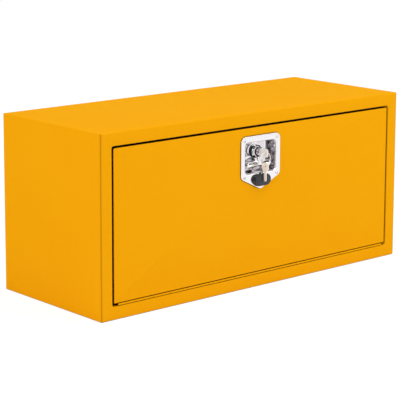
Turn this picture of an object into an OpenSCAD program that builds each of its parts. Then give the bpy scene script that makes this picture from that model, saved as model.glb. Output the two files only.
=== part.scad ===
// Underbody truck toolbox: a welded sheet-steel box with an inset drop-down door
// on a continuous hinge, and a stainless folding T-handle latch with its keys.
// X is the width, the door faces -Y, +Z is up. The origin is the centre of the base.
// Depth in this file means distance behind the front face of the box.

/* [Box] */
// Width of the box
box_w = 914.4; // [700:0.1:1400]
// Depth of the box, front to back
box_d = 355.6; // [300:0.1:500]
// Height of the box
box_h = 406.4; // [390:0.1:560]
// Thickness of the sheet steel
sheet_t = 1.5; // [1.2:0.1:2]
// Outside radius of the bends and ground corners
bend_r = 3; // [2.6:0.1:6]

/* [Face frame] */
// Width of the frame at the left and right of the door
border_side = 30.2; // [24:0.1:50]
// Width of the frame above the door
border_top = 29.8; // [24:0.1:50]
// Width of the frame below the hinge
border_bottom = 29.5; // [24:0.1:50]
// Gap between the door and the frame
door_gap = 4.5; // [3:0.1:7]
// Corner radius of the window in the frame
window_r = 5; // [4.5:0.1:9]
// Width of the stop flange behind the door
stop_w = 15; // [13:0.5:22]
// Thickness of the rubber door seal
seal_t = 3.4; // [2.5:0.1:5]
// Width of the rubber door seal
seal_w = 9; // [6:0.5:10]

/* [Door] */
// Depth of the folded door pan
door_t = 18; // [16:0.5:24]
// Corner radius of the door
door_r = 3; // [2:0.1:6]
// Width of the lip round the back of the door
lip_w = 20; // [19:0.5:30]
// Distance of each stiffener from the middle of the door
stiffener_x = 230; // [150:1:300]
// Width of a stiffener over its feet
stiffener_w = 64; // [50:1:90]
// Width of a stiffener's crown
stiffener_crown_w = 30; // [20:1:40]
// Thickness of a stiffener's sheet
stiffener_t = 1.2; // [1:0.1:1.5]

/* [Hinge] */
// Radius of the hinge barrel
barrel_r = 3.3; // [3:0.1:4.5]
// Radius of the hinge pin
hinge_pin_r = 1.6; // [1.2:0.1:1.9]
// How far the barrel stands in front of the face
barrel_proud = 0.4; // [0.2:0.1:1]
// Thickness of a hinge leaf
leaf_t = 1.2; // [1:0.1:1.5]
// Width of a hinge leaf, from the pin
leaf_w = 14; // [12:0.5:14.5]
// Distance from each end of the hinge to the door's edge
hinge_inset = 10.5; // [8:0.5:40]
// Number of knuckles
knuckle_count = 17; // [9:2:31]
// Number of rivets in each leaf
rivet_count = 8; // [4:1:16]
// Radius of a rivet's shank
rivet_r = 1.6; // [1.2:0.1:2]
// Radius of a rivet's head
rivet_head_r = 3; // [2.5:0.1:4]
// Height of a rivet's head
rivet_head_h = 1.2; // [0.8:0.1:1.4]

/* [Latch plate] */
// Width of the latch plate
plate_w = 121; // [112:0.5:140]
// Distance from the top of the box to the top of the plate
plate_drop = 53; // [50:0.5:70]
// Height of the plate's straight sides
plate_side_h = 96; // [92:0.5:110]
// Height of the pointed part below the sides
plate_point_h = 29; // [20:0.5:40]
// Radius of the plate's upper corners
plate_corner_r = 14; // [8:0.5:18]
// Radius of the plate's lower corners and of its point
plate_point_r = 12; // [6:0.5:16]
// Thickness of the plate
plate_t = 1.5; // [1:0.1:2]
// Thickness of the rubber gasket under the plate
plate_gasket_t = 0.8; // [0.5:0.1:1.5]
// Width of the recess in the plate
dish_w = 94; // [92:0.5:98]
// Height of the recess at its mouth
dish_h = 70; // [68:0.5:74]
// Distance from the top of the plate to the recess
dish_drop = 15.4; // [14:0.1:18]
// Rise of the recess's sloping lower wall
dish_rise = 15; // [8:0.5:16]
// Corner radius of the recess
dish_r = 8; // [4:0.5:12]
// Radius of a plate screw
screw_r = 2; // [1.5:0.1:2.5]
// Radius of a plate screw's head
screw_head_r = 3.4; // [3:0.1:4]
// Height of a plate screw's head
screw_head_h = 1.4; // [1:0.1:2]

/* [Latch spindle] */
// Distance of the spindle below the mouth of the recess
spindle_drop = 24.5; // [23:0.1:26]
// Radius of the spindle
spindle_r = 6; // [5:0.1:7]
// Radius of the yoke that carries the handle
yoke_r = 15.3; // [15:0.1:17]
// Radius of the yoke's base, behind its collar
yoke_base_r = 13.8; // [13.4:0.1:14.8]
// Depth of the front end of the yoke's two ears
yoke_front = 7; // [5:0.5:8]
// Thickness of the yoke's base
yoke_base_t = 4; // [3:0.1:5]
// Depth of the front of the yoke's round collar
collar_front = 11.6; // [11.2:0.1:14]
// Length of the collar, front to back
collar_l = 10.4; // [8:0.1:11.4]
// Height of the two ears that stand on the collar
ear_h = 15; // [12:0.5:18]
// Radius of the housing's threaded neck
neck_r = 9.4; // [8.5:0.1:11]
// Radius of the housing's flange
flange_r = 13; // [12:0.1:15]
// Thickness of the housing's flange
flange_t = 1.5; // [1:0.1:2]
// Length of the threaded neck behind the recess
neck_l = 8; // [7:0.1:9]
// Size of the housing nut across its flats
neck_nut_af = 27; // [25:0.5:32]
// Thickness of the housing nut
neck_nut_t = 5; // [4:0.1:6]
// Side of the spindle's square end
square_s = 8.4; // [7:0.1:8.6]
// Radius of the spindle's threaded tip
thread_r = 4; // [3:0.1:4.1]

/* [Latch cam and strike] */
// Length of the cam from the spindle's axis to its tip
cam_l = 60; // [56:0.5:70]
// Width of the cam
cam_w = 20; // [18:0.5:24]
// How far the cam reaches beyond the spindle's axis on its other side
cam_tail = 14; // [12:0.5:16]
// Thickness of the cam
cam_t = 4; // [3:0.1:5]
// Gap between the cam and the strike
cam_gap = 0.6; // [0.4:0.1:1]
// Width of the strike
strike_w = 80; // [60:1:120]
// Thickness of the strike
strike_t = 3; // [2:0.1:4]
// How far the cam reaches behind the strike
cam_hold = 20; // [12:0.5:24]
// Length of the strike's foot under the top panel
strike_foot = 30; // [20:1:45]

/* [Handle and lock] */
// Width of the T-bar
bar_w = 75; // [60:0.5:78]
// Radius of the T-bar at its middle
bar_r = 4.6; // [4:0.1:5]
// Radius of the T-bar near its ends
bar_end_r = 6.4; // [5:0.1:7]
// Distance from the spindle's axis down to the T-bar
bar_drop = 28.5; // [26:0.5:30]
// Depth of the T-bar's centre line behind the face
bar_depth = 4; // [3.5:0.1:5]
// Length of the thick grip at each end of the T-bar
bar_grip_l = 12; // [9:0.5:15]
// Distance from the middle of the T-bar to where it starts to swell
bar_waist = 14; // [8:0.5:16]
// Width of the stem
stem_w = 9; // [7:0.5:11]
// Thickness of the stem, front to back
stem_t = 7.5; // [6:0.5:8]
// Radius of the handle's head
head_r = 12; // [11:0.1:12.5]
// Depth of the front of the handle's head
head_front = 8; // [7:0.1:8.4]
// Depth of the back of the handle's head
head_back = 16; // [15:0.1:17]
// Depth of the axis that the handle folds about
fold_depth = 11; // [10.6:0.1:12]
// Radius of the handle's trunnion pins
trunnion_r = 2; // [1.5:0.1:2.5]
// Height of the neck that joins the stem to the head
handle_neck_h = 8; // [6:0.5:12]
// Radius of the lock cylinder
lock_r = 8.5; // [8:0.1:9]
// How far the lock cylinder stands in front of the face
lock_proud = 4; // [2:0.1:5]
// Width of the rubber ring round the lock cylinder
lock_seal_w = 2; // [1.4:0.1:2.6]
// Radius of the lock plug
plug_r = 6; // [5.2:0.1:6.5]

/* [Keys] */
// Length of a key
key_l = 43; // [38:0.5:46]
// Width of a key's bow
key_bow_w = 22; // [18:0.5:24]
// Length of a key's bow
key_bow_l = 20.5; // [18:0.5:22]
// Width of a key's blade
key_blade_w = 7.4; // [6:0.1:8]
// Thickness of a key
key_t = 2; // [1.6:0.1:2.4]
// Radius of the hole in a key's bow
key_hole_r = 2.6; // [2.2:0.1:3.2]
// Distance from the bow's end to its hole
key_hole_in = 8; // [5:0.5:9]
// Radius of the key ring to the middle of its wire
ring_r = 15.2; // [12:0.1:18]
// Radius of the ring's wire
ring_wire_r = 0.8; // [0.6:0.1:1.1]

/* [Dust cap] */
// Width of the dust cap
cap_w = 50; // [46:0.5:60]
// Height of the dust cap
cap_h = 28; // [26:0.5:32]
// Thickness of the dust cap, front to back
cap_t = 9.6; // [7:0.1:10]
// Wall of the dust cap
cap_wall = 2.2; // [1.5:0.1:3]
// Distance of the cap's rivet from the middle, to the left
cap_left = 0; // [0:0.5:10]
// Width of the cap's strap
strap_w = 9; // [7:0.5:12]

/* [Door stays] */
// Width of a stay's bars
stay_w = 14; // [12:0.5:18]
// Thickness of a stay's bars and brackets
stay_t = 2.5; // [2:0.1:3]
// Side gap between neighbouring bars
stay_gap = 0.5; // [0.4:0.1:1]
// How much longer the bar on the frame is than the bar on the door
bar_l_difference = 46; // [34:0.5:58]
// Frame pivot's distance behind the hinge pin
frame_pivot_y = 66; // [58:0.5:72]
// Frame pivot's height above the hinge pin
frame_pivot_z = 96; // [90:0.5:104]
// Door pivot's distance behind the hinge pin
door_pivot_y = 28; // [24:0.5:32]
// Door pivot's height above the hinge pin
door_pivot_z = 165; // [158:0.5:172]
// Radius of the stays' pins
stay_pin_r = 3; // [2:0.1:4]
// Length of the foot of the bracket on the frame
frame_foot_l = 44; // [36:1:60]
// Length of the foot of the bracket on the door
door_foot_l = 32; // [26:1:44]
// Width of the foot of the bracket on the door
door_foot_w = 11; // [9:0.5:13]

/* [Hidden] */

amber = "#f2a511";
steel = "#c9ccd0";
dark_steel = "#8d9094";
rubber = "#1d1e21";

front_y = -box_d / 2;
fine = 48;
running = 0.05;
seal_rest_gap = 0.3;

// Window in the frame, then the door that fills it
window_x = box_w / 2 - border_side;
window_top = box_h - border_top;
window_bottom = border_bottom;
door_x = window_x - door_gap;
door_top = window_top - door_gap;
hinge_z = border_bottom + barrel_r;
hinge_y = front_y + barrel_r - barrel_proud;
door_bottom = hinge_z + barrel_r;
stop_depth = door_t + seal_rest_gap + seal_t;
seal_inset = (stop_w - seal_w) / 2;

// Hinge
hinge_l = 2 * (door_x - hinge_inset);
knuckle_l = hinge_l / knuckle_count;
knuckle_gap = 0.4;
leaf_relief = barrel_r + 0.5;
rivet_y = hinge_y + leaf_w * 0.62;
rivet_pitch = hinge_l / rivet_count;

// Latch plate and recess
plate_top = box_h - plate_drop;
plate_side_end = plate_top - plate_side_h;
plate_tip = plate_side_end - plate_point_h;
plate_back = -plate_gasket_t;
plate_front = plate_back - plate_t;
dish_top = plate_top - dish_drop;
dish_bottom = dish_top - dish_h;
spindle_z = dish_top - spindle_drop;
screw_inset = 10.5;
screw_x = plate_w / 2 - screw_inset;
screw_zs = [plate_top - screw_inset, plate_side_end + 2];

// Lock and keys, as depths
slot_x = head_r + 0.4;
trunnion_in = lock_r + 1.5;
lock_front = -lock_proud;
key_shoulder = lock_front - 0.5;
blade_l = key_l - key_bow_l;
slot_back = key_shoulder + blade_l + 0.5;
plug_back = slot_back + 0.5;
lock_back = plug_back + 2;
ring_depth = key_shoulder - key_bow_l + key_hole_in;
ring_slack = key_hole_r - ring_wire_r - 0.2;
ring_z = spindle_z - ring_r + ring_slack;
spare_hole_z = ring_z - ring_r - ring_slack;

// Spindle, from front to back, as depths; the lock's back and the head swing clear of the yoke
swing_gap = 0.6;
neck_clearance = 0.4;
lock_swing = norm([max(lock_back, head_back) - fold_depth, lock_r]);
head_swing = norm([fold_depth - head_front, head_r]);
yoke_floor = fold_depth + max(lock_swing, head_swing) + swing_gap;
yoke_back = yoke_floor + yoke_base_t;
flange_front = yoke_back + 0.5;
dish_depth = flange_front + flange_t + plate_t;
neck_back = dish_depth + neck_l;
strike_front = neck_back;
cam_front = strike_front + strike_t + cam_gap;
clip_t = 1.2;
clip_front = neck_back + 0.4;
clip_r = spindle_r + 3;
cam_back = cam_front + cam_t;
washer_t = 1.5;
washer_r = 9;
cam_nut_af = 13;
cam_nut_t = 6.5;
tip_back = cam_back + washer_t + cam_nut_t + 1;
strike_bottom = spindle_z + cam_l - cam_hold;

// Dust cap
cap_back = plate_front - 0.4;
strap_t = 1.8;
cap_rivet_r = 1.6;
cap_rivet_head_r = 2.6;
cap_rivet_z = dish_bottom - cap_rivet_head_r - 0.5;
cap_z = cap_rivet_z - 0.5 - cap_h / 2;

// Door stays, outermost bracket first
stay_x = window_x - stop_w - 1.2;
stay_pitch = stay_t + stay_gap;
frame_pivot = [frame_pivot_y, frame_pivot_z];
door_pivot = [door_pivot_y, door_pivot_z];
door_pivot_open = [-door_pivot_z, door_pivot_y];
stay_reach = norm(door_pivot_open - frame_pivot) * 1.005;
frame_bar_l = (stay_reach + bar_l_difference) / 2;
door_bar_l = (stay_reach - bar_l_difference) / 2;
pin_reach = stay_gap * 0.6;
frame_lug_r = stay_w / 2 + 5;
door_lug_r = stay_w / 2 + 2;
elbow_closed = elbow(frame_pivot, door_pivot);
elbow_open = elbow(frame_pivot, door_pivot_open);
frame_bar_turn = wrap(heading(elbow_open - frame_pivot) - heading(elbow_closed - frame_pivot));
door_bar_turn = wrap(heading(elbow_open - door_pivot_open) - 90 - heading(elbow_closed - door_pivot));

function heading(v) = atan2(v[1], v[0]);
function wrap(a) = a - 360 * round(a / 360);
function elbow(from, to) =
  let (gap = norm(to - from))
  let (open = acos((frame_bar_l ^ 2 + gap ^ 2 - door_bar_l ^ 2) / (2 * frame_bar_l * gap)))
  let (a = heading(to - from) - open)
  from + frame_bar_l * [cos(a), sin(a)];

// Points of a polygon whose corners are rounded, each by its own radius
function corner_arc(before, corner, after, r, steps) =
  let (u = (before - corner) / norm(before - corner), v = (after - corner) / norm(after - corner))
  let (half = acos(u * v) / 2)
  let (centre = corner + (u + v) / norm(u + v) * r / sin(half))
  let (first = heading(corner + u * r / tan(half) - centre))
  let (sweep = wrap(heading(corner + v * r / tan(half) - centre) - first))
  [for (i = [0:steps]) centre + r * [cos(first + sweep * i / steps), sin(first + sweep * i / steps)]];
function rounded(points, radii, steps = 8) =
  let (n = len(points))
  [for (i = [0:n - 1])
    each corner_arc(points[(i + n - 1) % n], points[i], points[(i + 1) % n], radii[i], steps)];

// A strip along X with a half-round end beyond length and a square end at the origin
function lug_outline(length, r, steps = 16) = concat(
  [[0, -r]],
  [for (i = [0:steps]) [length + r * sin(180 * i / steps), -r * cos(180 * i / steps)]],
  [[0, r]]
);

// The same strip with a half-round end beyond the origin too
function bar_outline(length, r, steps = 16) = concat(
  [for (i = [0:steps]) [length + r * sin(180 * i / steps), -r * cos(180 * i / steps)]],
  [for (i = [0:steps]) [-r * sin(180 * i / steps), r * cos(180 * i / steps)]]
);

// An outline in X and Z, made solid between two depths
module slab(near, far) {
  translate([0, front_y + far, 0]) rotate([90, 0, 0]) linear_extrude(far - near) children();
}

// An outline in Y and Z, made solid between two places along X
module across(x0, x1) {
  translate([x0, 0, 0]) rotate([90, 0, 90]) linear_extrude(x1 - x0) children();
}

// A round bar along Y between two depths, about the spindle's axis
module spindle_round(r, near, far) {
  translate([0, front_y + near, spindle_z]) rotate([-90, 0, 0]) cylinder(r = r, h = far - near, $fn = fine);
}

// A hexagon along Y between two depths, about the spindle's axis
module spindle_hex(flats, near, far) {
  translate([0, front_y + near, spindle_z]) rotate([-90, 0, 0])
    cylinder(r = flats / sqrt(3), h = far - near, $fn = 6);
}

module round_rect(x0, x1, y0, y1, r) {
  translate([x0 + r, y0]) square([x1 - x0 - 2 * r, y1 - y0]);
  translate([x0, y0 + r]) square([x1 - x0, y1 - y0 - 2 * r]);
  for (x = [x0 + r, x1 - r], y = [y0 + r, y1 - r]) translate([x, y]) circle(r = r, $fn = 32);
}

// The whole box as one block with rounded edges, made smaller all round by inset
module rounded_block(inset) {
  w = box_w / 2 - inset;
  d = box_d / 2 - inset;
  r = bend_r - inset;
  intersection() {
    across(-w, w) round_rect(-d, d, inset, box_h - inset, r);
    slab(inset, box_d - inset) round_rect(-w, w, inset, box_h - inset, r);
    translate([0, 0, inset]) linear_extrude(box_h - 2 * inset) round_rect(-w, w, -d, d, r);
  }
}

module shell() {
  difference() {
    rounded_block(0);
    rounded_block(sheet_t);
  }
}

module region(low, high) {
  translate(low) cube(high - low);
}

module top_panel() {
  color(amber) intersection() {
    shell();
    region([-box_w, front_y + bend_r, box_h - bend_r], [box_w, box_d / 2 - bend_r, box_h + 1]);
  }
}

module bottom_panel() {
  color(amber) intersection() {
    shell();
    region([-box_w, front_y + bend_r, -1], [box_w, box_d / 2 - bend_r, bend_r]);
  }
}

module back_panel() {
  color(amber) intersection() {
    shell();
    region([-box_w, box_d / 2 - bend_r, -1], [box_w, box_d, box_h + 1]);
  }
}

module left_end_panel() {
  color(amber) intersection() {
    shell();
    region([-box_w, front_y + bend_r, bend_r], [0, box_d / 2 - bend_r, box_h - bend_r]);
  }
}

module right_end_panel() {
  color(amber) mirror([1, 0, 0]) left_end_panel();
}

// The window's outline, grown outwards by grow
module window_outline(grow) {
  round_rect(
    -window_x - grow, window_x + grow, window_bottom - grow, window_top + grow, max(window_r + grow, 0.5)
  );
}

// Face of the box, with the return round the door and the stop flange behind it
module front_frame() {
  color(amber) difference() {
    union() {
      intersection() {
        shell();
        region([-box_w, front_y - 1, -1], [box_w, front_y + bend_r, box_h + 1]);
      }
      slab(sheet_t / 2, stop_depth + sheet_t) window_outline(sheet_t);
    }
    slab(-1, stop_depth) window_outline(0);
    slab(stop_depth - 1, stop_depth + sheet_t + 1) window_outline(-stop_w);
    rivet_holes(hinge_z - barrel_r);
  }
}

module door_seal() {
  color(rubber) slab(stop_depth - seal_t, stop_depth) difference() {
    window_outline(-seal_inset);
    window_outline(-seal_inset - seal_w);
  }
}

// Angle welded under the top panel; the cam turns up behind its front leg
module latch_strike() {
  color(amber) across(-strike_w / 2, strike_w / 2) polygon([
    [front_y + strike_front, strike_bottom],
    [front_y + strike_front + strike_t, strike_bottom],
    [front_y + strike_front + strike_t, box_h - sheet_t - strike_t],
    [front_y + strike_front + strike_foot, box_h - sheet_t - strike_t],
    [front_y + strike_front + strike_foot, box_h - sheet_t],
    [front_y + strike_front, box_h - sheet_t]
  ]);
}

// Upright holes for the hinge's rivets, through whatever lies at height z
module rivet_holes(z) {
  for (i = [0:rivet_count - 1])
    translate([(i + 0.5) * rivet_pitch - hinge_l / 2, rivet_y, z - 5])
      cylinder(r = rivet_r + running, h = 10, $fn = 24);
}

module rivets(z, height) {
  flat_r = rivet_head_r * 0.6;
  for (i = [0:rivet_count - 1])
    translate([(i + 0.5) * rivet_pitch - hinge_l / 2, rivet_y, z]) {
      cylinder(r = rivet_r, h = height, $fn = 24);
      translate([0, 0, height]) cylinder(r1 = rivet_head_r, r2 = flat_r, h = rivet_head_h, $fn = 24);
      translate([0, 0, -rivet_head_h]) cylinder(r1 = flat_r, r2 = rivet_head_r, h = rivet_head_h, $fn = 24);
    }
}

// One leaf with its own knuckles; the leaf is cut back beside the other leaf's knuckles
module hinge_leaf(first, leaf_low) {
  difference() {
    union() {
      translate([-hinge_l / 2, hinge_y + leaf_relief, leaf_low])
        cube([hinge_l, leaf_w - leaf_relief, leaf_t]);
      for (i = [first:2:knuckle_count - 1])
        translate([i * knuckle_l - hinge_l / 2 + knuckle_gap / 2, hinge_y, hinge_z]) {
          rotate([0, 90, 0]) cylinder(r = barrel_r, h = knuckle_l - knuckle_gap, $fn = fine);
          translate([0, 0, leaf_low - hinge_z]) cube([knuckle_l - knuckle_gap, leaf_relief + 1, leaf_t]);
        }
    }
    translate([-hinge_l, hinge_y, hinge_z]) rotate([0, 90, 0])
      cylinder(r = hinge_pin_r + running, h = 2 * hinge_l, $fn = fine);
    rivet_holes(leaf_low);
  }
}

module hinge_frame_leaf() {
  color(amber) hinge_leaf(0, hinge_z - barrel_r);
}

module hinge_door_leaf() {
  color(amber) hinge_leaf(1, hinge_z + barrel_r - leaf_t);
}

module hinge_pin() {
  color(steel) translate([-hinge_l / 2, hinge_y, hinge_z]) rotate([0, 90, 0])
    cylinder(r = hinge_pin_r, h = hinge_l, $fn = fine);
}

module hinge_frame_rivets() {
  color(steel) rivets(hinge_z - barrel_r - sheet_t, sheet_t + leaf_t);
}

module hinge_door_rivets() {
  color(steel) rivets(hinge_z + barrel_r - leaf_t, sheet_t + leaf_t);
}

module door_outline(grow) {
  round_rect(-door_x - grow, door_x + grow, door_bottom - grow, door_top + grow, max(door_r + grow, 0.5));
}

// Folded pan: face, four returns and a lip round the back, with the latch's cut-outs
module door_skin() {
  color(amber) difference() {
    slab(0, door_t) door_outline(0);
    slab(sheet_t, door_t - sheet_t) door_outline(-sheet_t);
    slab(sheet_t, door_t + 1) door_outline(-lip_w);
    slab(-1, sheet_t + 1) dish_mouth(plate_t + 1.5);
    plate_screw_holes();
    rivet_holes(door_bottom);
  }
}

// Hat section welded behind the face, between the lips at top and bottom
module stiffener() {
  t = stiffener_t;
  slope = 3;
  crown = door_t - sheet_t - 0.1;
  foot = stiffener_w / 2;
  side = stiffener_crown_w / 2;
  translate([0, front_y, door_bottom + sheet_t + 2]) linear_extrude(door_top - door_bottom - 2 * sheet_t - 4)
    polygon([
      [-foot, sheet_t], [-side - slope, sheet_t], [-side, crown - t], [side, crown - t],
      [side + slope, sheet_t], [foot, sheet_t], [foot, sheet_t + t], [side + slope + t, sheet_t + t],
      [side + t, crown], [-side - t, crown], [-side - slope - t, sheet_t + t], [-foot, sheet_t + t]
    ]);
}

module left_door_stiffener() {
  color(amber) translate([-stiffener_x, 0, 0]) stiffener();
}

module right_door_stiffener() {
  color(amber) translate([stiffener_x, 0, 0]) stiffener();
}

// Mouth of the recess in the latch plate
module dish_mouth(grow) {
  round_rect(
    -dish_w / 2 - grow, dish_w / 2 + grow, dish_bottom - grow, dish_top + grow, dish_r + grow
  );
}

// The recess as a solid, larger all round by grow, from depth near to the back
module dish_solid(grow, near, far) {
  drop = grow / cos(atan(dish_rise / dish_depth));
  intersection() {
    slab(near, far) dish_mouth(grow);
    across(-dish_w, dish_w) polygon([
      [front_y + near, dish_bottom - drop],
      [front_y + max(near, 0), dish_bottom - drop],
      [front_y + far, dish_bottom - drop + dish_rise * far / dish_depth],
      [front_y + far, dish_top + grow],
      [front_y + near, dish_top + grow]
    ]);
  }
}

// The plate's outline, drawn in all round by inset
module plate_outline(inset) {
  side = plate_w / 2 - inset;
  low = plate_side_end + inset / 2;
  top = plate_top - inset;
  polygon(rounded(
    [[-side, low], [0, plate_tip + inset], [side, low], [side, top], [-side, top]],
    [plate_point_r, plate_point_r, plate_point_r, plate_corner_r, plate_corner_r]
  ));
}

module plate_screw_holes() {
  for (x = [-screw_x, screw_x], z = screw_zs)
    slab(-10, 10) translate([x, z]) circle(r = screw_r + running, $fn = 24);
}

module latch_plate() {
  color(steel) difference() {
    union() {
      slab(plate_front, plate_back) plate_outline(0);
      dish_solid(plate_t, plate_back - 0.2, dish_depth);
    }
    dish_solid(0, plate_front - 1, dish_depth - plate_t);
    spindle_round(neck_r + running, dish_depth - 5, dish_depth + 1);
    plate_screw_holes();
    slab(-10, 10) translate([-cap_left, cap_rivet_z]) circle(r = cap_rivet_r + running, $fn = 24);
  }
}

module latch_plate_gasket() {
  color(rubber) difference() {
    slab(plate_back, 0) plate_outline(0.6);
    slab(-10, 10) dish_mouth(plate_t + 1);
    plate_screw_holes();
    slab(-10, 10) translate([-cap_left, cap_rivet_z]) circle(r = cap_rivet_r + running, $fn = 24);
  }
}

module latch_plate_screws() {
  color(steel) for (x = [-screw_x, screw_x], z = screw_zs)
    translate([x, front_y + plate_front, z]) rotate([-90, 0, 0]) {
      cylinder(r = screw_r, h = sheet_t - plate_front + 3, $fn = 24);
      translate([0, 0, -screw_head_h])
        cylinder(r1 = screw_head_r * 0.7, r2 = screw_head_r, h = screw_head_h, $fn = 24);
    }
}

// Bush that carries the spindle through the back of the recess
module spindle_housing() {
  color(dark_steel) difference() {
    union() {
      spindle_round(flange_r, flange_front, flange_front + flange_t);
      spindle_round(neck_r, flange_front + flange_t, neck_back);
    }
    spindle_round(spindle_r + running, flange_front - 1, neck_back + 1);
  }
}

module housing_nut() {
  color(dark_steel) difference() {
    spindle_hex(neck_nut_af, dish_depth, dish_depth + neck_nut_t);
    spindle_round(neck_r + running, dish_depth - 1, dish_depth + neck_nut_t + 1);
  }
}

// Collar with two ears, round spindle, square for the cam and threaded tip, in one piece; the
// collar is cut away at its top, where the lock swings up with the handle
module latch_spindle() {
  color(steel) difference() {
    union() {
      spindle_round(yoke_r, collar_front, collar_front + collar_l);
      spindle_round(yoke_base_r, collar_front + collar_l - 1, yoke_back);
      intersection() {
        spindle_round(yoke_r, yoke_front, collar_front + 1);
        region(
          [-yoke_r - 1, front_y, spindle_z - ear_h / 2],
          [yoke_r + 1, front_y + collar_front + 1, spindle_z + ear_h / 2]
        );
      }
      spindle_round(spindle_r, yoke_back, cam_front);
      slab(cam_front, cam_back - 0.2)
        translate([-square_s / 2, spindle_z - square_s / 2]) square(square_s);
      spindle_round(thread_r, cam_back - 0.2, tip_back);
    }
    across(-slot_x, slot_x) translate([front_y + fold_depth, spindle_z])
      circle(r = yoke_floor - fold_depth, $fn = fine);
    region(
      [-slot_x, front_y - 1, spindle_z - yoke_r - 1],
      [slot_x, front_y + fold_depth, spindle_z + yoke_r + 1]
    );
    region(
      [-lock_r - swing_gap, front_y, spindle_z],
      [lock_r + swing_gap, front_y + fold_depth + lock_r + swing_gap, spindle_z + yoke_r + 1]
    );
    trunnion_bore(0, running);
  }
}

// Bore for the trunnion pins, from x to the outside on both sides
module trunnion_bore(x, gap) {
  for (side = [-1, 1])
    translate([side * x, front_y + fold_depth, spindle_z]) rotate([0, side * 90, 0])
      cylinder(r = trunnion_r + gap, h = yoke_r + 5, $fn = fine);
}

module handle_trunnions() {
  color(dark_steel) for (side = [-1, 1])
    translate([side * trunnion_in, front_y + fold_depth, spindle_z]) rotate([0, side * 90, 0])
      cylinder(r = trunnion_r, h = yoke_r - 1.4 - trunnion_in, $fn = fine);
}

module spindle_clip() {
  color(dark_steel) difference() {
    spindle_round(clip_r, clip_front, clip_front + clip_t);
    spindle_round(spindle_r + running, clip_front - 1, clip_front + clip_t + 1);
    slab(clip_front - 1, clip_front + clip_t + 1)
      translate([-spindle_r * 0.6, spindle_z - clip_r - 1]) square([spindle_r * 1.2, clip_r]);
  }
}

// Flat bar on the spindle's square; it points left at rest and turns up behind the strike
module latch_cam() {
  r = cam_w / 2;
  color(dark_steel) slab(cam_front, cam_back) translate([0, spindle_z]) difference() {
    translate([r - cam_l, 0]) polygon(bar_outline(cam_l + cam_tail - cam_w, r));
    square(square_s + 2 * running, center = true);
  }
}

module cam_washer() {
  color(steel) difference() {
    spindle_round(washer_r, cam_back, cam_back + washer_t);
    spindle_round(thread_r + running, cam_back - 1, cam_back + washer_t + 1);
  }
}

module cam_nut() {
  near = cam_back + washer_t;
  color(steel) difference() {
    spindle_hex(cam_nut_af, near, near + cam_nut_t);
    spindle_round(thread_r + running, near - 1, near + cam_nut_t + 1);
  }
}

// Cast handle: a head round the lock, a stem on a short neck, and a waisted T-bar
module t_handle() {
  bar_y = front_y + bar_depth;
  bar_z = spindle_z - bar_drop;
  half = bar_w / 2;
  grip = half - bar_grip_l;
  stem_top = spindle_z - lock_r - lock_seal_w - running;
  dome = [for (i = [0:6]) [bar_end_r * sin(i * 15), half - bar_end_r * (1 - cos(i * 15))]];
  right_side = concat(dome, [[bar_end_r, grip], [bar_r, bar_waist]]);
  left_side = [for (i = [len(right_side) - 1:-1:0]) [right_side[i][0], -right_side[i][1]]];
  color(steel) difference() {
    union() {
      spindle_round(head_r, head_front, head_back);
      region([-stem_w / 2, bar_y - stem_t / 2, bar_z], [stem_w / 2, bar_y + stem_t / 2, stem_top]);
      region(
        [-stem_w / 2, bar_y, stem_top - handle_neck_h],
        [stem_w / 2, front_y + collar_front - neck_clearance, stem_top]
      );
      translate([0, bar_y, bar_z]) rotate([0, 90, 0]) rotate_extrude($fn = fine)
        polygon(concat(right_side, left_side));
    }
    spindle_round(lock_r + running, -1, head_back + 1);
    trunnion_bore(0, running + 0.01);
  }
}

module lock_cylinder() {
  color(steel) difference() {
    spindle_round(lock_r, lock_front, lock_back);
    spindle_round(plug_r + running, lock_front - 1, plug_back + running);
  }
}

// Rubber ring round the lock cylinder, on the face of the handle's head
module lock_seal() {
  color(rubber) difference() {
    spindle_round(lock_r + lock_seal_w, head_front - 1, head_front);
    spindle_round(lock_r + running, head_front - 2, head_front + 1);
  }
}

module lock_plug() {
  color(steel) difference() {
    spindle_round(plug_r, lock_front, plug_back);
    region(
      [-key_t / 2 - running, front_y + lock_front - 1, spindle_z - key_blade_w / 2 - running],
      [key_t / 2 + running, front_y + slot_back, spindle_z + key_blade_w / 2 + running]
    );
  }
}

// A flat key, drawn with its hole at the origin and its blade pointing down
module key_outline() {
  top = key_hole_in;
  shoulder = top - key_bow_l;
  wide = top - key_bow_l * 0.62;
  half = key_bow_w / 2;
  b = key_blade_w / 2;
  point_l = 4;
  difference() {
    union() {
      polygon(rounded(
        [
          [-half * 0.8, top], [-half, wide], [-b - 1.6, shoulder],
          [b + 1.6, shoulder], [half, wide], [half * 0.8, top]
        ],
        [4, 3, 1, 1, 3, 4], 5
      ));
      translate([-b, shoulder - blade_l + point_l]) square([2 * b, blade_l - point_l + 1]);
      translate([-b, shoulder - blade_l])
        polygon([[2, 0], [b + 1, 0], [2 * b, point_l + 0.1], [0, point_l + 0.1], [0, point_l / 2]]);
    }
    circle(r = key_hole_r, $fn = 32);
    for (i = [0:3])
      translate([b, shoulder - 6 - i * 4.2]) rotate(45) square(1.5 + 0.5 * (i % 2), center = true);
  }
}

// In the lock: the bow stands upright and its hole is in front
module inserted_key() {
  color(steel) translate([-key_t / 2, front_y + ring_depth, spindle_z]) rotate([90, 0, 90])
    linear_extrude(key_t) rotate(90) key_outline();
}

module key_ring() {
  color(steel) translate([0, front_y + ring_depth, ring_z]) rotate([90, 0, 0])
    rotate_extrude($fn = 64) translate([ring_r, 0]) circle(r = ring_wire_r, $fn = 16);
}

module spare_key() {
  color(steel) translate([-key_t / 2, front_y + ring_depth, spare_hole_z]) rotate([90, 0, 90])
    linear_extrude(key_t) key_outline();
}

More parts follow.
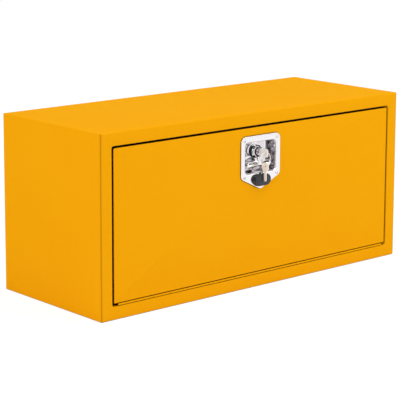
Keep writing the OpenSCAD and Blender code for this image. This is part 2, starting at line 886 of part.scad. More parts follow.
// Oval rubber cap that hangs from its strap in front of the plate
module dust_cap() {
  low = cap_z - cap_h / 2;
  hollow_top = cap_rivet_z - cap_rivet_head_r - 1.8;
  strap_top = cap_rivet_z + cap_rivet_head_r + 0.8;
  side = cap_w / 2 - cap_wall;
  color(rubber) translate([-cap_left, 0, 0]) difference() {
    union() {
      slab(cap_back - cap_t, cap_back) round_rect(-cap_w / 2, cap_w / 2, low, low + cap_h, cap_h / 2 - 0.01);
      slab(cap_back - strap_t, cap_back) round_rect(-strap_w / 2, strap_w / 2, cap_z, strap_top, 2.5);
    }
    slab(cap_back - cap_t + cap_wall, cap_back + 1)
      round_rect(-side, side, low + cap_wall, hollow_top, cap_h / 2 - cap_wall - 3);
    slab(cap_back - cap_t - 1, cap_back + 1)
      translate([0, cap_rivet_z]) circle(r = cap_rivet_r + 0.3, $fn = 24);
    slab(cap_back - cap_t - 1, cap_back - strap_t)
      translate([0, cap_rivet_z]) circle(r = cap_rivet_head_r + 0.6, $fn = 24);
  }
}

module cap_rivet() {
  color(steel) translate([-cap_left, front_y, cap_rivet_z]) rotate([-90, 0, 0]) {
    translate([0, 0, cap_back - strap_t - 0.3])
      cylinder(r = cap_rivet_r, h = 0.3 + strap_t - cap_back, $fn = 24);
    translate([0, 0, cap_back - strap_t - 1.3])
      cylinder(r1 = cap_rivet_head_r * 0.7, r2 = cap_rivet_head_r, h = 1, $fn = 24);
  }
}

// A flat bar between two pivots given from the hinge pin, on the given layer of the right-hand stay
module stay_bar(from, to, layer) {
  x = stay_x - layer * stay_pitch - stay_t;
  across(x, x + stay_t) translate([hinge_y, hinge_z] + from) difference() {
    rotate(heading(to - from)) polygon(bar_outline(norm(to - from), stay_w / 2));
    circle(r = stay_pin_r + running, $fn = fine);
  }
}

// A round pin along X from near to far, at a place given from the hinge pin
module stay_pin(at, r, near, far) {
  translate([near, hinge_y + at[0], hinge_z + at[1]]) rotate([0, 90, 0])
    cylinder(r = r, h = far - near, $fn = fine);
}

// A bracket's plate: it stands off its foot, which lies at y, and is round about the pivot
module stay_lug(at, y, r, x) {
  across(x, x + stay_t) translate([y, hinge_z + at[1]]) polygon(lug_outline(hinge_y + at[0] - y, r));
}

// Angle behind the stop flange, with the pin that the frame bar turns on
module frame_bracket() {
  plate_x = stay_x - stay_t;
  foot_y = front_y + stop_depth + sheet_t;
  foot_z = hinge_z + frame_pivot_z - frame_foot_l / 2;
  region([plate_x, foot_y, foot_z], [plate_x + stop_w - 1, foot_y + stay_t, foot_z + frame_foot_l]);
  stay_lug(frame_pivot, foot_y, frame_lug_r, plate_x);
  stay_pin(frame_pivot, stay_pin_r, plate_x - stay_gap - stay_t - pin_reach, plate_x + 0.1);
}

// Angle behind the door's lip, with the pin that the door bar turns on
module door_bracket() {
  plate_x = stay_x - 3 * stay_pitch - stay_t;
  foot_y = front_y + door_t;
  foot_z = hinge_z + door_pivot_z - door_foot_l / 2;
  region([plate_x, foot_y, foot_z], [plate_x + door_foot_w, foot_y + stay_t, foot_z + door_foot_l]);
  stay_lug(door_pivot, foot_y, door_lug_r, plate_x);
  stay_pin(door_pivot, stay_pin_r, plate_x + stay_t - 0.1, plate_x + stay_pitch + stay_t + pin_reach);
}

// The elbow's rivet belongs to the frame bar and stops short of the door bar
module frame_bar() {
  outer_x = stay_x - stay_pitch;
  stay_bar(frame_pivot, elbow_closed, 1);
  stay_pin(elbow_closed, stay_pin_r + 1.5, outer_x - 0.1, outer_x + pin_reach);
}

module right_stay_frame_bracket() {
  color(steel) frame_bracket();
}

module left_stay_frame_bracket() {
  color(steel) mirror([1, 0, 0]) frame_bracket();
}

module right_stay_door_bracket() {
  color(steel) door_bracket();
}

module left_stay_door_bracket() {
  color(steel) mirror([1, 0, 0]) door_bracket();
}

module right_stay_frame_bar() {
  color(steel) frame_bar();
}

module left_stay_frame_bar() {
  color(steel) mirror([1, 0, 0]) frame_bar();
}

module right_stay_door_bar() {
  color(steel) stay_bar(door_pivot, elbow_closed, 2);
}

module left_stay_door_bar() {
  color(steel) mirror([1, 0, 0]) right_stay_door_bar();
}

// How far each stay bar turns for each degree of the door
echo(frame_bar_ratio = frame_bar_turn / 90, door_bar_ratio = door_bar_turn / 90);
top_panel();
bottom_panel();
back_panel();
left_end_panel();
right_end_panel();
front_frame();
door_seal();
latch_strike();
hinge_frame_leaf();
hinge_pin();
hinge_frame_rivets();
left_stay_frame_bracket();
right_stay_frame_bracket();
door_skin();
left_door_stiffener();
right_door_stiffener();
hinge_door_leaf();
hinge_door_rivets();
left_stay_door_bracket();
right_stay_door_bracket();
left_stay_frame_bar();
right_stay_frame_bar();
left_stay_door_bar();
right_stay_door_bar();
latch_plate();
latch_plate_gasket();
latch_plate_screws();
spindle_housing();
housing_nut();
latch_spindle();
spindle_clip();
latch_cam();
cam_washer();
cam_nut();
handle_trunnions();
t_handle();
lock_cylinder();
lock_seal();
lock_plug();
inserted_key();
key_ring();
spare_key();
dust_cap();
cap_rivet();
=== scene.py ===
# Underbody truck toolbox: a welded sheet-steel box with an inset drop-down door on a continuous
# hinge, and a polished folding T-handle latch with its keys. Metres, +Z up, the door faces -Y.
# Depth in this file means distance behind the front face of the box.
import math

import bmesh
import bpy
import numpy as np
from mathutils import Matrix, Quaternion, Vector


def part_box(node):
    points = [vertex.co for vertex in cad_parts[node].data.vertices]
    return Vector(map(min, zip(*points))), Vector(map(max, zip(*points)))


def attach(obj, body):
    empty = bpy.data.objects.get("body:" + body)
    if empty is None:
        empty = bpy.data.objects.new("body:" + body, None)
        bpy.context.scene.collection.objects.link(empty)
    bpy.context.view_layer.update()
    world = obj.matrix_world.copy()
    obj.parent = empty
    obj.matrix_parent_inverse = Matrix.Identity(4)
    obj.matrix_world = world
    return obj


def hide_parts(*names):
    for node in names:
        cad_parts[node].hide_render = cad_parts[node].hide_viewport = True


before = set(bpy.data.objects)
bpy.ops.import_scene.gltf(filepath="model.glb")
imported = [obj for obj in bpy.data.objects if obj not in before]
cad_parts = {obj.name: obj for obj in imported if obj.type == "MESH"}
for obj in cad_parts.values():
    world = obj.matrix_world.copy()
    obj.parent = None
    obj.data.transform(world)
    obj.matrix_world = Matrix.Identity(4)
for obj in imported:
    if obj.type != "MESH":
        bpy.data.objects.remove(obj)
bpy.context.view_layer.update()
mm = 0.001

# Camera: a long lens off the left front corner, a little above the lid. The small downward shift
# of the lens keeps the uprights of the box almost parallel.
camera_heading = math.radians(-41.279)
camera_tilt = math.radians(9.53)
camera_roll = math.radians(0.21)
camera_data = bpy.data.cameras.new("camera")
camera_data.sensor_width = 36
camera_data.lens = 144.98
camera_data.shift_y = -0.2
camera_data.clip_end = 60
camera = bpy.data.objects.new("camera", camera_data)
camera.location = (-2.4713, -2.7853, 0.9891)
camera.rotation_mode = "QUATERNION"
look = Vector((
    -math.sin(camera_heading) * math.cos(camera_tilt),
    math.cos(camera_heading) * math.cos(camera_tilt),
    -math.sin(camera_tilt),
))
camera.rotation_quaternion = look.to_track_quat("-Z", "Y") @ Quaternion((0, 0, 1), camera_roll)
bpy.context.scene.collection.objects.link(camera)
bpy.context.scene.camera = camera
bpy.context.scene.view_settings.view_transform = "Standard"


# Studio: a pale floor, soft lamps, and a white surround. Dark sheets that only polished metal sees
# paint the unlit room behind the camera into its reflections, as a dark streak.
def tone(code):
    """An sRGB hex colour as linear red, green, blue and alpha."""
    parts = [int(code[i:i + 2], 16) / 255 for i in (1, 3, 5)]
    return tuple(p / 12.92 if p <= 0.04045 else ((p + 0.055) / 1.055) ** 2.4 for p in parts) + (1,)


def add(tree, kind, sockets=(), **settings):
    """Adds a shader node with its settings, and fills or links its sockets."""
    made = tree.nodes.new("ShaderNode" + kind)
    for name, value in settings.items():
        setattr(made, name, value)
    for name, value in dict(sockets).items():
        if isinstance(value, bpy.types.NodeSocket):
            tree.links.new(value, made.inputs[name])
        else:
            made.inputs[name].default_value = value
    return made


def seen_directly(tree):
    """1 on rays from the camera and on rays mirrored or refracted by the object, otherwise 0."""
    path = add(tree, "LightPath").outputs
    seen = path["Is Camera Ray"]
    for other in ("Is Glossy Ray", "Is Transmission Ray"):
        seen = add(tree, "Math", {0: seen, 1: path[other]}, operation="MAXIMUM").outputs[0]
    return seen


surround_light = 0.65
world = bpy.data.worlds.new("white_surround")
world.use_nodes = True
bpy.context.scene.world = world
tree = world.node_tree
strength = add(
    tree, "MapRange", {"Value": seen_directly(tree), "To Min": surround_light, "To Max": 1}
)
tree.nodes["Background"].inputs["Color"].default_value = tone("#ffffff")
tree.links.new(strength.outputs[0], tree.nodes["Background"].inputs["Strength"])

# The floor is a sheet of matt paper. It is lifted towards white where it is seen directly,
# and it keeps part of the object's shadow.
floor_half = 9
floor_corners = [
    (x * floor_half, y * floor_half, 0) for x, y in ((-1, -1), (1, -1), (1, 1), (-1, 1))
]
floor_mesh = bpy.data.meshes.new("studio_floor")
floor_mesh.from_pydata(floor_corners, [], [(0, 1, 2, 3)])
floor = bpy.data.objects.new("studio_floor", floor_mesh)
bpy.context.scene.collection.objects.link(floor)
paper = bpy.data.materials.new("matt_white_paper")
paper.use_nodes = True
tree = paper.node_tree
shader = tree.nodes["Principled BSDF"]
shader.inputs["Base Color"].default_value = tone("#f2f2f0")
shader.inputs["Roughness"].default_value = 0.9
shader.inputs["Specular IOR Level"].default_value = 0.1
glow = add(tree, "Emission", {"Color": tone("#ffffff"), "Strength": 1.1})
lift = add(tree, "Math", {0: seen_directly(tree), 1: 0.8}, operation="MULTIPLY")
mixed = add(tree, "MixShader", {0: lift.outputs[0], 1: shader.outputs[0], 2: glow.outputs[0]})
tree.links.new(mixed.outputs[0], tree.nodes["Material Output"].inputs["Surface"])
floor_mesh.materials.append(paper)


def soft_lamp(name, place, target, size, watts, code="#ffffff"):
    """A square soft lamp that shines from place towards target."""
    data = bpy.data.lights.new(name, "AREA")
    data.color = tone(code)[:3]
    data.size = size
    data.energy = watts
    lamp = bpy.data.objects.new(name, data)
    lamp.location = place
    lamp.rotation_mode = "QUATERNION"
    lamp.rotation_quaternion = (Vector(target) - Vector(place)).to_track_quat("-Z", "Y")
    lamp.visible_camera = False
    bpy.context.scene.collection.objects.link(lamp)


soft_lamp("lamp_above", (0.4, -0.6, 3.2), (0, 0, 0.2), 2.6, 33)
soft_lamp("lamp_left", (-3.3, -0.55, 1.6), (-0.4, 0, 0.2), 2.2, 30, "#fff0e2")
soft_lamp("lamp_right_front", (1.8, -3.4, 1.5), (0.1, -0.2, 0.2), 2.2, 27.4)

# Two dark sheets are painted reflections of the unlit side of the room and of its upper part.
# Diffuse light and shadows pass through them, so they only darken what polished metal mirrors.
for name, place, turn, left, right, low, high, code in (
    ("dark_side_of_room", (-0.79, -1.08, 0), camera_heading, -1, 0.05, 0.01, 1.5, "#7a685b"),
    ("dark_upper_room", (1.2, -1.6, 0), -camera_heading, -0.9, 0.9, 0.75, 4.2, "#40382f"),
):
    mirror_shade_material = bpy.data.materials.new(name + "_painted_reflection")
    mirror_shade_material.use_nodes = True
    shader = mirror_shade_material.node_tree.nodes["Principled BSDF"]
    shader.inputs["Base Color"].default_value = tone(code)
    shader.inputs["Roughness"].default_value = 0.9
    dark_mesh = bpy.data.meshes.new(name)
    corners = [(left, 0, low), (right, 0, low), (right, 0, high), (left, 0, high)]
    dark_mesh.from_pydata(corners, [], [(0, 1, 2, 3)])
    dark_mesh.materials.append(mirror_shade_material)
    dark = bpy.data.objects.new(name, dark_mesh)
    dark.location = place
    dark.rotation_euler = (0, 0, turn)
    dark.visible_camera = False
    dark.visible_diffuse = False
    dark.visible_shadow = False
    dark.visible_transmission = False
    bpy.context.scene.collection.objects.link(dark)


# Box: folded and welded 1.5 mm sheet steel, powder coated amber inside and out. The coat is
# satin with a faint orange peel, and it lies thin and darker over the ground corner welds.
def new_material(name):
    """A material with its node tree and its surface shader."""
    made = bpy.data.materials.new(name)
    made.use_nodes = True
    return made, made.node_tree, made.node_tree.nodes["Principled BSDF"]


box_low, box_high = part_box("front_frame")
front = box_low.y
box_half = box_high.x
box_top = box_high.z
sheet = 1.5 * mm
edge_bend = 3 * mm

amber_coat, tree, shader = new_material("amber_powder_coat")
place = add(tree, "TexCoord").outputs["Object"]
drift = add(tree, "TexNoise", {"Vector": place, "Scale": 1 / (120 * mm), "Detail": 2})
# The real peel is about 2 mm across; it is drawn 6 mm across so that it shows.
peel = add(
    tree, "TexNoise", {"Vector": place, "Scale": 1 / (6 * mm), "Detail": 3, "Roughness": 0.6}
)
speck = add(tree, "TexNoise", {"Vector": place, "Scale": 1 / (2.2 * mm), "Detail": 1})
tint = add(
    tree, "Mix", {0: drift.outputs["Fac"], 6: tone("#f2a70a"), 7: tone("#f4ab0e")}, data_type="RGBA"
)
speck_share = add(
    tree, "MapRange",
    {"Value": speck.outputs["Fac"], "From Min": 0.35, "From Max": 0.75, "To Max": 0.12},
)
speckled = add(
    tree, "Mix", {0: speck_share.outputs[0], 6: tint.outputs[2], 7: tone("#e2950a")},
    data_type="RGBA",
)
split = add(tree, "SeparateXYZ", {0: place})
across = add(tree, "Math", {0: split.outputs["X"]}, operation="ABSOLUTE")
off_side = add(tree, "Math", {0: across.outputs[0], 1: box_half}, operation="SUBTRACT")
off_front = add(tree, "Math", {0: split.outputs["Y"], 1: front}, operation="SUBTRACT")
off_corner = add(tree, "CombineXYZ", {0: off_side.outputs[0], 1: off_front.outputs[0]})
from_corner = add(tree, "VectorMath", {0: off_corner.outputs[0]}, operation="LENGTH")
weld_line = add(
    tree, "MapRange",
    {
        "Value": from_corner.outputs["Value"],
        "From Min": 1.6 * mm, "From Max": 3.6 * mm, "To Min": 0.55, "To Max": 0,
    },
)
coated = add(
    tree, "Mix", {0: weld_line.outputs[0], 6: speckled.outputs[2], 7: tone("#a8690a")},
    data_type="RGBA",
)
# Painted shade: the coat turns near black where ambient occlusion finds a narrow gap.
opening = add(tree, "AmbientOcclusion", {"Distance": 8 * mm}, samples=8)
gap_shade_share = add(
    tree, "MapRange",
    {"Value": opening.outputs["AO"], "From Min": 0.26, "From Max": 0.36, "To Min": 1, "To Max": 0},
)
gap_shade_share.name = "painted_gap_shade"
gap_shaded_colour = add(
    tree, "Mix", {0: gap_shade_share.outputs[0], 6: coated.outputs[2], 7: tone("#0a0602")}, data_type="RGBA"
)
tree.links.new(gap_shaded_colour.outputs[2], shader.inputs["Base Color"])
gloss = add(tree, "MapRange", {"Value": peel.outputs["Fac"], "To Min": 0.44, "To Max": 0.58})
tree.links.new(gloss.outputs[0], shader.inputs["Roughness"])
# The satin coat spreads its gloss so widely that hardly any of it shows.
shader.inputs["Specular IOR Level"].default_value = 0.001
waves = add(tree, "Bump", {"Height": drift.outputs["Fac"], "Strength": 0.4, "Distance": 1.2 * mm})
grain = add(
    tree, "Bump",
    {
        "Height": peel.outputs["Fac"], "Strength": 0.5, "Distance": 0.25 * mm,
        "Normal": waves.outputs[0],
    },
)
tree.links.new(grain.outputs[0], shader.inputs["Normal"])


def dress(material, slot_name, *names):
    """Gives CAD nodes a material."""
    for name in names:
        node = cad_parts[name]
        node.data.materials.clear()
        node.data.materials.append(material)


def soften(width, *names):
    """Breaks the sharp edges of CAD nodes with a small bevel."""
    for name in names:
        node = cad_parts[name]
        weld = node.modifiers.new("joined", "WELD")
        weld.merge_threshold = 0.001 * mm
        bevel = node.modifiers.new("broken_edges", "BEVEL")
        bevel.width = width
        bevel.segments = 2
        bevel.limit_method = "ANGLE"
        bevel.angle_limit = math.radians(38)
        bevel.harden_normals = False


dress(
    amber_coat, "amber_powder_coat",
    "top_panel", "bottom_panel", "back_panel", "left_end_panel", "right_end_panel", "latch_strike",
)
soften(0.5 * mm, "latch_strike")


# Front frame: one folded sheet, with rounded outer edges, a bend into the window, a return round
# the door and a stop flange behind it. It is drawn as a stack of outlines along that section.
def outline(corners, radii, grow=0.0, steps=6):
    """Points of a polygon in X and Z, grown outwards by grow, with its corners rounded."""
    count = len(corners)
    points = [Vector(c) for c in corners]
    normals = []
    for i in range(count):
        edge = (points[(i + 1) % count] - points[i]).normalized()
        normals.append(Vector((edge.y, -edge.x)))
    moved = []
    for i in range(count):
        before, after = normals[i - 1], normals[i]
        moved.append(points[i] + (before + after) * grow / (1 + before.dot(after)))
    made = []
    for i in range(count):
        radius = max(radii[i] + grow, 0.3 * mm)
        to_last = (moved[i - 1] - moved[i]).normalized()
        to_next = (moved[(i + 1) % count] - moved[i]).normalized()
        half = math.acos(max(-1, min(1, to_last.dot(to_next)))) / 2
        centre = moved[i] + (to_last + to_next).normalized() * radius / math.sin(half)
        first = moved[i] + to_last * radius / math.tan(half) - centre
        turn = math.pi - 2 * half
        for k in range(steps + 1):
            spin = Matrix.Rotation(turn * k / steps, 2)
            made.append(centre + spin @ first)
    return made


def rectangle(x0, x1, z0, z1):
    return [(x0, z0), (x1, z0), (x1, z1), (x0, z1)]


def rays_to(outlines, centre):
    """The angles at which the corners of these outlines are seen from the centre."""
    angles = sorted(math.atan2(p[1] - centre[1], p[0] - centre[0]) for o in outlines for p in o)
    kept = [angles[0]]
    for angle in angles:
        if angle - kept[-1] > 0.0004:
            kept.append(angle)
    return kept


def ring_at(points, depth, centre, angles):
    """Where the rays from the centre cross an outline, as points at that depth."""
    here = np.array([tuple(p) for p in points]) - np.array(centre)
    there = np.roll(here, -1, axis=0)
    ring = []
    for angle in angles:
        along = np.array((math.cos(angle), math.sin(angle)))
        side = along[0] * here[:, 1] - along[1] * here[:, 0]
        next_side = along[0] * there[:, 1] - along[1] * there[:, 0]
        crossed = (side <= 0) & (next_side > 0)
        share = (side / (side - next_side + 1e-18))[crossed][:, None]
        reach = (here[crossed] + share * (there[crossed] - here[crossed])) @ along
        x, z = np.array(centre) + along * reach.max()
        ring.append((x, front + depth, z))
    return ring


def bend(grow, depth, radius, start, end, steps=5):
    """(grow, depth) pairs round a bend of the sheet, between two angles in degrees."""
    angles = [math.radians(start + (end - start) * i / steps) for i in range(steps + 1)]
    return [(grow + radius * math.cos(a), depth + radius * math.sin(a)) for a in angles]


def new_piece(name, points, faces, body, material, sharp=32):
    """A mesh piece that rides on a body, smooth except at its sharp edges."""
    mesh = bpy.data.meshes.new(name)
    mesh.from_pydata([tuple(p) for p in points], [], faces)
    work = bmesh.new()
    work.from_mesh(mesh)
    bmesh.ops.remove_doubles(work, verts=work.verts, dist=0.002 * mm)
    bmesh.ops.recalc_face_normals(work, faces=work.faces)
    work.to_mesh(mesh)
    work.free()
    mesh.shade_smooth()
    mesh.set_sharp_from_angle(angle=math.radians(sharp))
    mesh.materials.append(material)
    made = bpy.data.objects.new(name, mesh)
    bpy.context.scene.collection.objects.link(made)
    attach(made, body)
    return made


def stack(rings, closed=True):
    """Points and faces that join each ring to the next, and the last to the first if closed."""
    count = len(rings[0])
    points = [p for ring in rings for p in ring]
    faces = []
    pairs = len(rings) if closed else len(rings) - 1
    for r in range(pairs):
        low, high = r * count, (r + 1) % len(rings) * count
        for i in range(count):
            j = (i + 1) % count
            faces.append((low + i, low + j, high + j, high + i))
    if not closed:
        faces.append(tuple(range(count)))
        faces.append(tuple(range(len(points) - count, len(points))))
    return points, faces


def folded(section, centre):
    """A closed skin along a section of (shape, grow, depth) steps; a shape is corners and radii."""
    outlines = [outline(shape[0], shape[1], grow) for shape, grow, depth in section]
    angles = rays_to(outlines, centre)
    return stack([ring_at(o, step[2], centre, angles) for o, step in zip(outlines, section)])


border_side = 30.2 * mm
border_top = 29.8 * mm
border_bottom = 29.5 * mm
window_bend = 2 * mm
stop_depth = 21.7 * mm
stop_width = 15 * mm
window_half = box_half - border_side
window_top = box_top - border_top
box_shape = (rectangle(-box_half, box_half, 0, box_top), [edge_bend] * 4)
window_shape = (rectangle(-window_half, window_half, border_bottom, window_top), [5 * mm] * 4)
frame_section = [(box_shape, g, d) for g, d in bend(-edge_bend, edge_bend, edge_bend, 0, -90)]
for steps in (
    bend(window_bend, window_bend, window_bend, -90, -180),
    bend(-1 * mm, stop_depth - 1 * mm, 1 * mm, 0, 90, 3),
    [(-stop_width + 0.3 * mm, stop_depth), (-stop_width, stop_depth + 0.3 * mm)],
    [(-stop_width, stop_depth + 1.2 * mm), (-stop_width + 0.3 * mm, stop_depth + sheet)],
    bend(-0.5 * mm, stop_depth - 0.5 * mm, 2 * mm, 90, 0, 3),
    bend(sheet + 0.5 * mm, window_bend, 0.5 * mm, 180, 270, 3),
):
    frame_section += [(window_shape, g, d) for g, d in steps]
frame_section += [(box_shape, g, d) for g, d in bend(-edge_bend, edge_bend, sheet, -90, 0, 3)]
points, faces = folded(frame_section, (0, box_top / 2))
frame_sheet = new_piece(
    "front_frame_sheet", points, faces, "cabinet", amber_coat
)
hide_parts("front_frame")


# Door seal: a soft black rubber strip with a round bulb, glued to the stop flange. Rubber is
# extruded, so it is dull, with fine lines along it.
def black_rubber_finish(name, code, roughness, grain_size):
    """Dull moulded or extruded rubber: nearly black, with a fine matt grain."""
    material, tree, shader = new_material(name)
    place = add(tree, "TexCoord").outputs["Object"]
    grain = add(tree, "TexNoise", {"Vector": place, "Scale": 1 / grain_size, "Detail": 4})
    bloom = add(tree, "TexNoise", {"Vector": place, "Scale": 1 / (14 * mm), "Detail": 2})
    dusty = add(
        tree, "MapRange",
        {"Value": bloom.outputs["Fac"], "From Min": 0.45, "From Max": 0.8, "To Max": 0.3},
    )
    colour = add(
        tree, "Mix", {0: dusty.outputs[0], 6: tone(code), 7: tone("#3c3d42")}, data_type="RGBA"
    )
    tree.links.new(colour.outputs[2], shader.inputs["Base Color"])
    dull = add(
        tree, "MapRange",
        {"Value": grain.outputs["Fac"], "To Min": roughness - 0.07, "To Max": roughness + 0.1},
    )
    tree.links.new(dull.outputs[0], shader.inputs["Roughness"])
    shader.inputs["IOR"].default_value = 1.52
    rough = add(
        tree, "Bump", {"Height": grain.outputs["Fac"], "Strength": 0.5, "Distance": 0.12 * mm}
    )
    tree.links.new(rough.outputs[0], shader.inputs["Normal"])
    return material


seal_rubber = black_rubber_finish("extruded_black_rubber", "#0e0e10", 0.62, 0.8 * mm)
seal_thick = 3.4 * mm
seal_wide = 9 * mm
seal_inset = (stop_width - seal_wide) / 2
seal_middle = -seal_inset - seal_wide / 2
bulb = 2.2 * mm
seal_steps = [(-seal_inset - seal_wide, stop_depth), (-seal_inset - seal_wide, stop_depth - 1 * mm)]
seal_steps += [(seal_middle - bulb, stop_depth - 1.2 * mm)]
seal_steps += bend(seal_middle, stop_depth - seal_thick + bulb, bulb, 180, 360, 8)
seal_steps += [(seal_middle + bulb, stop_depth - 1.2 * mm), (-seal_inset, stop_depth - 1 * mm)]
seal_steps += [(-seal_inset, stop_depth)]
points, faces = folded([(window_shape, g, d) for g, d in seal_steps], (0, box_top / 2))
bulb_seal = new_piece("door_seal_bulb", points, faces, "cabinet", seal_rubber)
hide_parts("door_seal")


# Welds: rippled fillet beads of steel in the box's inside corners and along the strike's sides
# and back. They are put down before the coat, so they have its colour.
def bead(start, end, radius):
    """Points and faces of a weld bead with a ripple every 2.4 mm."""
    start, end = Vector(start), Vector(end)
    length = (end - start).length
    along = (end - start).normalized()
    side = along.orthogonal().normalized()
    up = along.cross(side)
    count = max(6, int(length / (0.8 * mm)))
    rings = []
    for i in range(count + 1):
        share = i / count
        taper = min(1, 6 * min(share, 1 - share) + 0.25)
        ripple = abs(math.sin(math.pi * share * length / (2.4 * mm)))
        r = radius * taper * (0.9 + 0.16 * ripple)
        centre = start.lerp(end, share)
        rings.append([
            centre + side * r * math.cos(a) + up * r * math.sin(a)
            for a in [math.tau * k / 8 for k in range(8)]
        ])
    return stack(rings, closed=False)


def joined(parts):
    """Several sets of points and faces as one."""
    points, faces = [], []
    for more_points, more_faces in parts:
        faces += [tuple(i + len(points) for i in f) for f in more_faces]
        points += list(more_points)
    return points, faces


bead_radius = 1.8 * mm
bead_sunk = 0.6 * mm
inside = box_half - sheet - bead_sunk
back_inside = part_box("back_panel")[1].y - sheet - bead_sunk
upright_ends = 12 * mm
corner_beads = []
for x in (-inside, inside):
    start = (x, back_inside, upright_ends)
    corner_beads.append(bead(start, (x, back_inside, box_top - upright_ends), bead_radius))
for x in (-inside, inside):
    for z in (sheet + bead_sunk, box_top - sheet - bead_sunk):
        start = (x, front + 30 * mm, z)
        corner_beads.append(bead(start, (x, back_inside - 8 * mm, z), bead_radius))
points, faces = joined(corner_beads)
new_piece("corner_weld_beads", points, faces, "cabinet", amber_coat, 60)

strike_low, strike_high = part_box("latch_strike")
strike_beads = []
bead_z = strike_high.z - 0.4 * mm
for x in (strike_low.x, strike_high.x):
    start, end = (x, strike_low.y + 6 * mm, bead_z), (x, strike_high.y - 3 * mm, bead_z)
    strike_beads.append(bead(start, end, bead_radius))
for middle in (-26 * mm, 0, 26 * mm):
    start, end = (middle - 7 * mm, strike_high.y, bead_z), (middle + 7 * mm, strike_high.y, bead_z)
    strike_beads.append(bead(start, end, bead_radius))
points, faces = joined(strike_beads)
new_piece("strike_weld_beads", points, faces, "cabinet", amber_coat, 60)


# Hinge: a continuous steel hinge along the lower edge of the door, coated with the box, so its
# knuckles are amber. A steel pin runs through it, and domed rivets hold each leaf.
def plated_steel(name, code, roughness, spangle):
    """Bright plated or plain steel: soft cloudy grains and a little scatter in the gloss."""
    material, tree, shader = new_material(name)
    place = add(tree, "TexCoord").outputs["Object"]
    cloud = add(tree, "TexNoise", {"Vector": place, "Scale": 1 / spangle, "Detail": 3})
    grain = add(tree, "TexVoronoi", {"Vector": place, "Scale": 1 / (spangle * 0.35)})
    dark = tuple(c * 0.72 for c in tone(code)[:3]) + (1,)
    colour = add(tree, "Mix", {0: cloud.outputs["Fac"], 6: dark, 7: tone(code)}, data_type="RGBA")
    tree.links.new(colour.outputs[2], shader.inputs["Base Color"])
    shader.inputs["Metallic"].default_value = 1
    scatter = add(
        tree, "MapRange",
        {
            "Value": grain.outputs["Distance"],
            "To Min": roughness - 0.06, "To Max": roughness + 0.08,
        },
    )
    tree.links.new(scatter.outputs[0], shader.inputs["Roughness"])
    bumps = add(
        tree, "Bump", {"Height": cloud.outputs["Fac"], "Strength": 0.3, "Distance": 0.05 * mm}
    )
    tree.links.new(bumps.outputs[0], shader.inputs["Normal"])
    return material


def shaded_coat(name, shade_full_below, shade_none_above):
    """The amber coat with its painted gap shade reaching over a wider band of ambient occlusion."""
    coat = amber_coat.copy()
    coat.name = name
    band = coat.node_tree.nodes["painted_gap_shade"].inputs
    band["From Min"].default_value = shade_full_below
    band["From Max"].default_value = shade_none_above
    return coat


# Bright zinc plate is a cool pale grey with a faint spangle.
zinc_plate = plated_steel("bright_zinc_plate", "#c6c9cc", 0.34, 5 * mm)
# Painted shade: the door's edge shades the knuckles, painted as a dark line above and below them.
hinge_shaded_coat = shaded_coat("amber_coat_with_painted_shade_on_hinge", 0.76, 0.9)
dress(hinge_shaded_coat, "amber_powder_coat", "hinge_frame_leaf", "hinge_door_leaf")
dress(zinc_plate, "zinc_plated", "hinge_pin")


def turned(profile, centre, axis, segments=28):
    """Points and faces of a piece turned about an axis, from (radius, distance along it) pairs."""
    axis = Vector(axis)
    side = axis.orthogonal().normalized()
    up = axis.cross(side)
    rings = []
    for radius, along in profile:
        rings.append([
            Vector(centre) + axis * along
            + (side * math.cos(math.tau * k / segments) + up * math.sin(math.tau * k / segments))
            * max(radius, 0.01 * mm)
            for k in range(segments)
        ])
    return stack(rings, closed=False)


rivet_head_r = 3 * mm
rivet_head_h = 1.2 * mm
rivet_shank_r = 1.6 * mm
rivet_count = 8
turns = [math.radians(15 * i) for i in range(7)]
dome = [(rivet_head_r * math.cos(a), rivet_head_h * math.sin(a)) for a in turns]
for node, body in (("hinge_frame_rivets", "cabinet"), ("hinge_door_rivets", "door")):
    low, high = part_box(node)
    under, over = low.z + rivet_head_h, high.z - rivet_head_h
    profile = [(r, under - h) for r, h in reversed(dome)] + [(rivet_shank_r, under)]
    profile += [(rivet_shank_r, over)] + [(r, over + h) for r, h in dome]
    pitch = (high.x - low.x - 2 * rivet_head_r) / (rivet_count - 1)
    y = (low.y + high.y) / 2
    parts = []
    for i in range(rivet_count):
        parts.append(turned(profile, (low.x + rivet_head_r + pitch * i, y, 0), (0, 0, 1), 20))
    points, faces = joined(parts)
    name = node.replace("rivets", "domed_rivets")
    rivets = new_piece(name, points, faces, body, zinc_plate)
    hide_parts(node)


# Door stays: folding bars of zinc-plated steel between a bracket on the frame and one on the
# door, on each side. They hold the open door level.
stay_nodes = [
    side + name for side in ("left_", "right_")
    for name in ("stay_frame_bracket", "stay_door_bracket", "stay_frame_bar", "stay_door_bar")
]
dress(zinc_plate, "zinc_plated", *stay_nodes)
soften(0.3 * mm, *stay_nodes)


# Door: one folded pan of the same sheet and coat. Its face turns back over a small bend on all
# four sides and ends in a lip, and the latch's recess goes through it. Two stiffeners are welded
# inside it.
door_low, door_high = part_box("door_skin")
door_half = door_high.x
door_depth = door_high.y - front
door_bend = 2.2 * mm
lip = 20 * mm
recess_low = 268 * mm
recess_high = 338 * mm
recess_half = 47 * mm
cut_gap = 3 * mm
door_shape = (rectangle(-door_half, door_half, door_low.z, door_high.z), [3 * mm] * 4)
cut_shape = (rectangle(-recess_half, recess_half, recess_low, recess_high), [8 * mm] * 4)
door_section = [(cut_shape, cut_gap, sheet), (cut_shape, cut_gap, 0)]
for steps in (
    bend(-door_bend, door_bend, door_bend, -90, 0),
    bend(-door_bend, door_depth - door_bend, door_bend, 0, 90),
    [(-lip + 0.3 * mm, door_depth), (-lip, door_depth - 0.4 * mm)],
    [(-lip, door_depth - 1.1 * mm), (-lip + 0.3 * mm, door_depth - sheet)],
    bend(-door_bend, door_depth - door_bend, door_bend - sheet, 90, 0, 3),
    bend(-door_bend, door_bend, door_bend - sheet, 0, -90, 3),
):
    door_section += [(door_shape, g, d) for g, d in steps]
points, faces = folded(door_section, (0, (recess_low + recess_high) / 2))
